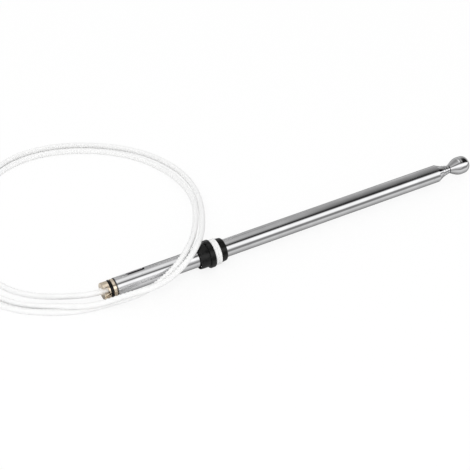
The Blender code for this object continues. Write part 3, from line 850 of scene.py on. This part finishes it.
class MAST_OT_seal(Operator):
    """Add the seal: rubber grommet, white ring on its sleeve, and rubber cap."""

    bl_idname = "mast.seal"
    bl_label = "Seal"

    GROMMET = 5.50 * MM
    MOUTH_R = 6.10 * MM
    END_R = 6.47 * MM
    SWELL_R = 6.65 * MM
    SWELL = 2.00 * MM
    BORE = 5.10 * MM
    SLEEVE_R = 5.60 * MM
    RUBBER_BORE = 5.65 * MM
    RING = 3.50 * MM
    GROOVE = 0.40 * MM
    GROOVE_DEPTH = 0.25 * MM
    CAP_END_R = 6.40 * MM
    MOUTH_ROUND = 0.06 * MM
    END_ROUND = 0.15 * MM
    SWELL_ROUND = 2.00 * MM
    FLANGE_ROUND = 0.45 * MM
    RING_ROUND = 0.20 * MM
    GROOVE_ROUND = 0.08 * MM
    GROOVE_FLOOR_ROUND = 0.05 * MM
    CAP_ROUND = 0.20 * MM
    CAP_NOSE = 0.80 * MM

    def execute(self, context):
        edge = context.scene.mast_sizes.edge_round
        shoulder = GROMMET_START + self.GROMMET
        grommet = [
            (BUSH_START, self.RUBBER_BORE, edge),
            (GROMMET_START, self.MOUTH_R, self.MOUTH_ROUND),
            (GROMMET_START, self.END_R, self.END_ROUND),
            (GROMMET_START + self.SWELL, self.SWELL_R, self.SWELL_ROUND),
            (shoulder, self.SWELL_R, edge),
            (shoulder, FLANGE_R, self.FLANGE_ROUND),
            (FLANGE_END, FLANGE_R, self.FLANGE_ROUND),
            (FLANGE_END, self.RUBBER_BORE, edge),
        ]
        turned_piece(
            context, "seal_grommet_rubber", grommet, "moulded_rubber", "seal", "seal_grommet"
        )
        ring_start = FLANGE_END + RUN
        ring_end = ring_start + self.RING
        middle = (ring_start + ring_end) / 2
        bottom = RING_R - self.GROOVE_DEPTH
        ring = [
            (BUSH_START, self.BORE, edge),
            (BUSH_START, self.SLEEVE_R, edge),
            (ring_start, self.SLEEVE_R, edge),
            (ring_start, RING_R, self.RING_ROUND),
            (middle - self.GROOVE / 2, RING_R, self.GROOVE_ROUND),
            (middle - self.GROOVE / 2, bottom, self.GROOVE_FLOOR_ROUND),
            (middle + self.GROOVE / 2, bottom, self.GROOVE_FLOOR_ROUND),
            (middle + self.GROOVE / 2, RING_R, self.GROOVE_ROUND),
            (ring_end, RING_R, self.RING_ROUND),
            (ring_end, self.SLEEVE_R, edge),
            (BUSH_END, self.SLEEVE_R, edge),
            (BUSH_END, self.BORE, edge),
        ]
        turned_piece(context, "seal_bush_nylon", ring, "moulded_nylon", "seal", "seal_bush")
        cap = [
            (CAP_START, self.RUBBER_BORE, edge),
            (CAP_START, CAP_R, self.CAP_ROUND),
            (CAP_END - self.CAP_NOSE, self.CAP_END_R, self.CAP_NOSE),
            (CAP_END, self.RUBBER_BORE, edge),
        ]
        turned_piece(context, "seal_cap_rubber", cap, "moulded_rubber", "seal", "seal_cap")
        return {"FINISHED"}


def smooth_route(points, step):
    """Natural cubic curve through the points by chord length, read at even steps and kept off the table."""
    knots = np.array(points)
    spans = np.linalg.norm(np.diff(knots, axis=0), axis=1)
    along = np.concatenate([[0.0], np.cumsum(spans)])
    inner = np.arange(1, len(knots) - 1)
    system = np.eye(len(knots))
    system[inner, inner - 1] = spans[:-1]
    system[inner, inner] = 2 * (spans[:-1] + spans[1:])
    system[inner, inner + 1] = spans[1:]
    right = np.zeros_like(knots)
    right[1:-1] = 6 * np.diff(np.diff(knots, axis=0) / spans[:, None], axis=0)
    bend = np.linalg.solve(system, right)
    places = np.linspace(0.0, along[-1], round(along[-1] / step) + 1)
    k = np.clip(np.searchsorted(along, places, side="right") - 1, 0, len(spans) - 1)
    ahead = (along[k + 1] - places)[:, None]
    behind = (places - along[k])[:, None]
    span_k = spans[k][:, None]
    curve = (bend[k] * ahead**3 + bend[k + 1] * behind**3) / (6 * span_k)
    curve += (knots[k] / span_k - bend[k] * span_k / 6) * ahead
    curve += (knots[k + 1] / span_k - bend[k + 1] * span_k / 6) * behind
    curve[:, 2] = np.maximum(curve[:, 2], CABLE_R)
    return curve


class MAST_OT_drive_cable(Operator):
    """Add the toothed drive cable along its route."""

    bl_idname = "mast.drive_cable"
    bl_label = "Drive cable"

    SIDES = 28
    FINE_STEP = 0.50 * MM
    SHARP = 50.0
    # A gap's floor reaches round the cable only where cos a is above this
    LEAST_COS = 0.1
    # Four stations to a tooth: the start and end of its top, and the start and end of the gap's floor
    STATIONS = np.array([0.00, 0.40, 0.54, 0.86])
    DEPTHS = np.array([0.0, 0.0, 1.0, 1.0])

    def execute(self, context):
        sizes = context.scene.mast_sizes
        fine = smooth_route(CABLE_ROUTE, self.FINE_STEP)
        run = np.concatenate([[0.0], np.cumsum(np.linalg.norm(np.diff(fine, axis=0), axis=1))])
        teeth = math.floor(run[-1] / sizes.tooth_pitch)
        places = ((np.arange(teeth)[:, None] + self.STATIONS) * sizes.tooth_pitch).ravel()
        depth = np.tile(self.DEPTHS, teeth) * sizes.tooth_depth
        places, depth = np.append(places, run[-1]), np.append(depth, 0.0)
        path = np.column_stack([np.interp(places, run, fine[:, axis]) for axis in range(3)])
        points, faces = self.toothed_tube(path, depth, sizes.tooth_turn)
        nylon = finish_named(context, "cable_nylon")
        cable = put_mesh("drive_cable_toothed", points, faces, nylon, self.SHARP)
        settle(cable, "mast", "drive_cable")
        return {"FINISHED"}

    def toothed_tube(self, path, depth, tooth_turn):
        """Carry a round section along the path and cut its tooth gaps.

        With the unit tangent t, the side s = t x up points into the loop and n = s x t points up. The teeth
        face d = s cos(turn) + n sin(turn). At angle a from d the radius is the smaller of R and
        (R - depth) / cos a, which cuts the gap's floor flat.
        """
        tangent = np.gradient(path, axis=0)
        tangent /= np.linalg.norm(tangent, axis=1)[:, None]
        side = np.cross(tangent, (0.0, 0.0, 1.0))
        side /= np.linalg.norm(side, axis=1)[:, None]
        upward = np.cross(side, tangent)
        angle = np.linspace(0.0, math.tau, self.SIDES, endpoint=False)
        facing = np.maximum(np.cos(angle), self.LEAST_COS)
        limit = np.where(facing > self.LEAST_COS, 1.0 / facing, np.inf)
        radius = np.minimum(CABLE_R, (CABLE_R - depth)[:, None] * limit)
        turned = angle + tooth_turn
        offset = side[:, None] * np.cos(turned)[:, None] + upward[:, None] * np.sin(turned)[:, None]
        points = (path[:, None] + offset * radius[:, :, None]).reshape(-1, 3)
        ring, spoke = np.meshgrid(np.arange(len(path) - 1), np.arange(self.SIDES), indexing="ij")
        beside = (spoke + 1) % self.SIDES
        here, there = ring * self.SIDES, (ring + 1) * self.SIDES
        corners = (here + spoke, here + beside, there + beside, there + spoke)
        faces = np.stack([corner.ravel() for corner in corners], axis=1).tolist()
        last = (len(path) - 1) * self.SIDES
        faces.append(list(range(self.SIDES - 1, -1, -1)))
        faces.append(list(range(last, last + self.SIDES)))
        return points, faces


class MAST_OT_stage(Operator):
    """Add the camera, the table, the soft lamp and the room that the chrome mirrors."""

    bl_idname = "mast.stage"
    bl_label = "Studio"

    FLOOR_SIDE = 6.0
    FLOOR_DROP = 0.05 * MM
    LAMP_SIDE = 0.8
    LAMP_PLACE = Vector((-0.55, -0.65, 1.10))
    CLOTH = (0.88, 0.88, 0.88, 1.0)
    WHITE = (1.0, 1.0, 1.0, 1.0)
    # The share of the table's white that is its own glow. The rest takes the shadow.
    GLOW_SHARE = 0.85
    # How bright the table looks to a mirror, as a glow holding a painted shadow under the mast and light
    # painted as falling off further away: pairs of the share of this reach from the mast and the level
    MIRRORED_REACH = 0.10
    MIRRORED_TABLE = (
        (0.00, 0.20), (0.03, 0.26), (0.045, 0.32), (0.06, 0.38), (0.085, 0.47), (0.11, 0.57),
        (0.135, 0.66), (0.20, 0.74), (0.26, 0.72), (0.36, 0.45), (0.50, 0.30), (1.00, 0.26),
    )

    def execute(self, context):
        studio = context.scene.studio
        self.add_camera(context, studio)
        self.add_table(context)
        self.add_lamp(context, studio)
        self.add_room(context, studio)
        context.scene.view_settings.view_transform = "Standard"
        return {"FINISHED"}

    def mirror_ray(self, nodes):
        """1 for what a mirror shows and 0 for light that a mirror throws onto a pale surface."""
        glossy_ray = nodes.add("ShaderNodeLightPath", output="Is Glossy Ray")
        scattered = nodes.add("ShaderNodeLightPath", output="Diffuse Depth")
        return glossy_ray * scattered.math("LESS_THAN", scattered, 0.5)

    def add_camera(self, context, studio):
        """Place the camera on a sphere round its aim."""
        data = bpy.data.cameras.new("camera")
        data.angle = studio.field
        camera = bpy.data.objects.new("camera", data)
        level = math.cos(studio.elevation)
        back = Vector(
            (math.sin(studio.azimuth) * level, -math.cos(studio.azimuth) * level, math.sin(studio.elevation))
        )
        right = Vector((math.cos(studio.azimuth), math.sin(studio.azimuth), 0.0))
        turn = Matrix((right, back.cross(right), back)).transposed()
        camera.matrix_world = Matrix.Translation(Vector(studio.aim) + back * studio.distance) @ turn.to_4x4()
        context.scene.collection.objects.link(camera)
        context.scene.camera = camera

    def add_table(self, context):
        """A wide pale table that keeps the shadow and shows white to the camera."""
        half = self.FLOOR_SIDE / 2
        points = np.array([(-half, -half, 0.0), (half, -half, 0.0), (half, half, 0.0), (-half, half, 0.0)])
        points[:, 2] -= self.FLOOR_DROP
        material = bpy.data.materials.new("pale_table")
        material.use_nodes = True
        nodes = Nodes(material.node_tree)
        material.node_tree.nodes.remove(material.node_tree.nodes["Principled BSDF"])
        camera_ray = nodes.add("ShaderNodeLightPath", output="Is Camera Ray")
        glossy_ray = self.mirror_ray(nodes)
        clear_ray = nodes.add("ShaderNodeLightPath", output="Is Transmission Ray")
        seen = camera_ray + clear_ray
        cloth = nodes.mix(seen, self.CLOTH, self.WHITE)
        diffuse = nodes.add("ShaderNodeBsdfDiffuse", None, {"Color": cloth})
        place = nodes.add("ShaderNodeTexCoord", output="Object")
        y = nodes.add("ShaderNodeSeparateXYZ", None, {0: place}, 1)
        # To mirrors the table glows with a painted shadow under the mast and painted dimming further off, not
        # with its lit colour.
        apart = y.math("ABSOLUTE", y) * (1.0 / self.MIRRORED_REACH)
        mirrored = nodes.add("ShaderNodeValToRGB", {"stops": self.MIRRORED_TABLE}, {"Fac": apart})
        shown = nodes.mix(glossy_ray, self.WHITE, mirrored)
        glow = nodes.add("ShaderNodeEmission", None, {"Color": shown, "Strength": 1.0})
        share = seen * self.GLOW_SHARE + glossy_ray
        surface = nodes.add("ShaderNodeMixShader", None, {0: share, 1: diffuse, 2: glow})
        output = material.node_tree.nodes["Material Output"]
        nodes.feed(output.inputs["Surface"], surface)
        mesh = bpy.data.meshes.new("pale_table")
        mesh.from_pydata(points.tolist(), [], [(0, 1, 2, 3)])
        mesh.materials.append(material)
        table = bpy.data.objects.new("pale_table", mesh)
        context.scene.collection.objects.link(table)

    def add_lamp(self, context, studio):
        """One wide soft lamp above and in front of the mast."""
        data = bpy.data.lights.new("soft_lamp", "AREA")
        data.shape = "SQUARE"
        data.size = self.LAMP_SIDE
        data.energy = studio.lamp_power
        lamp = bpy.data.objects.new("soft_lamp", data)
        lamp.location = self.LAMP_PLACE
        lamp.rotation_mode = "QUATERNION"
        lamp.rotation_quaternion = (-self.LAMP_PLACE).to_track_quat("-Z", "Y")
        lamp.visible_glossy = False
        context.scene.collection.objects.link(lamp)

    def room_ramps(self):
        """The ramp towards the base, then each further one after the two values of x where it takes over."""
        box = [
            (0.00, 0.22), (0.02, 0.24), (0.055, 0.31), (0.085, 0.64), (0.11, 1.05), (0.15, 1.22),
            (0.25, 1.28), (0.285, 1.08), (0.315, 0.74),
        ]
        gap = [(0.34, 0.20), (0.365, 0.03), (0.41, 0.03)]
        side_box = [
            (0.00, 0.48), (0.055, 0.50), (0.094, 0.62), (0.133, 0.90), (0.172, 1.20), (0.25, 1.28),
            (0.289, 1.12), (0.328, 0.56), (0.367, 0.10), (0.406, 0.26),
        ]
        near = [
            *side_box, (0.444, 0.52), (0.483, 0.60), (0.522, 0.50), (0.567, 0.42), (0.70, 0.27), (1.00, 0.55),
        ]
        left = [
            *side_box, (0.444, 0.60), (0.483, 0.86), (0.522, 1.00), (0.567, 1.05), (0.61, 1.00),
            (0.655, 0.86), (0.70, 0.64), (0.76, 0.46), (0.85, 0.42), (1.00, 0.60),
        ]
        middle = [
            *box, *gap, (0.444, 0.12), (0.483, 0.28), (0.53, 0.46), (0.57, 0.53), (0.85, 0.48), (1.00, 0.75),
        ]
        right = [
            *box, *gap, (0.45, 0.04), (0.483, 0.08), (0.522, 0.15), (0.567, 0.21), (0.61, 0.25),
            (0.655, 0.28), (0.70, 0.33), (0.81, 0.38), (0.87, 0.44), (0.94, 0.56), (1.00, 0.65),
        ]
        patch = [
            *box, (0.34, 0.26), (0.39, 0.22), (0.466, 0.58), (0.566, 0.62), (0.626, 0.50), (0.72, 0.43),
            (1.00, 0.60),
        ]
        far = [*box, (0.34, 0.08), (0.36, 0.01), (0.66, 0.01), (0.72, 0.15), (0.82, 0.36), (1.00, 0.60)]
        return (
            near, (0.05, 0.20, left), (0.27, 0.34, middle), (0.35, 0.41, right), (0.47, 0.49, patch),
            (0.50, 0.535, far),
        )

    def add_room(self, context, studio):
        """White to the camera, an even level to soft light, and to mirrors a room with one long soft box.

        The room's brightness is a ramp over the angle round the mast's axis, from 0 at the front horizon
        over 90 degrees overhead to 180 at the back horizon, mixed between six ramps along the room.
        """
        world = bpy.data.worlds.new("room")
        world.use_nodes = True
        context.scene.world = world
        nodes = Nodes(world.node_tree)
        way = nodes.add("ShaderNodeTexCoord", output="Generated")
        x, y, z = (nodes.add("ShaderNodeSeparateXYZ", None, {0: way}, axis) for axis in range(3))
        round_axis = z.math("ARCTAN2", z, y * -1.0) * (1.0 / math.pi)
        first, *others = self.room_ramps()
        mirrored = nodes.add("ShaderNodeValToRGB", {"stops": first}, {"Fac": round_axis})
        for low, high, stops in others:
            ramp = nodes.add("ShaderNodeValToRGB", {"stops": stops}, {"Fac": round_axis})
            mirrored = nodes.mix(nodes.step(x, low, high), mirrored, ramp)
        glossy_ray = self.mirror_ray(nodes)
        camera_ray = nodes.add("ShaderNodeLightPath", output="Is Camera Ray")
        level = (studio.surround, studio.surround, studio.surround, 1.0)
        colour = nodes.mix(glossy_ray, level, mirrored)
        colour = nodes.mix(camera_ray, colour, self.WHITE)
        background = world.node_tree.nodes["Background"]
        nodes.feed(background.inputs["Color"], colour)


class VIEW3D_PT_aerial_mast(Panel):
    """Lists the mast's steps and settings in the sidebar."""

    bl_label = "Aerial mast"
    bl_idname = "VIEW3D_PT_aerial_mast"
    bl_space_type = "VIEW_3D"
    bl_region_type = "UI"
    bl_category = "Aerial mast"

    def draw(self, context):
        for operator in STEPS:
            self.layout.operator(operator.bl_idname)
        for group in (context.scene.mast_sizes, context.scene.mast_finishes, context.scene.studio):
            box = self.layout.box()
            for name in group.bl_rna.properties.keys():
                if name not in ("rna_type", "name"):
                    box.prop(group, name)


STEPS = (
    MAST_OT_stage,
    MAST_OT_drive_cable,
    MAST_OT_outer_tube,
    MAST_OT_contact_leaf,
    MAST_OT_base_fitting,
    MAST_OT_inner_sections,
    MAST_OT_tip,
    MAST_OT_seal,
)
GROUPS = {"mast_sizes": MastSizes, "mast_finishes": MastFinishes, "studio": StudioSettings}


def register():
    """Register the settings, the steps and the panel."""
    for name, group in GROUPS.items():
        bpy.utils.register_class(group)
        setattr(bpy.types.Scene, name, PointerProperty(type=group))
    for step in (*STEPS, VIEW3D_PT_aerial_mast):
        bpy.utils.register_class(step)


def unregister():
    """Take out what register put in."""
    for step in (VIEW3D_PT_aerial_mast, *reversed(STEPS)):
        bpy.utils.unregister_class(step)
    for name, group in reversed(GROUPS.items()):
        delattr(bpy.types.Scene, name)
        bpy.utils.unregister_class(group)


def main():
    """Run every step."""
    register()
    for step in STEPS:
        family, name = step.bl_idname.split(".")
        getattr(getattr(bpy.ops, family), name)()


if __name__ == "__main__":
    main()
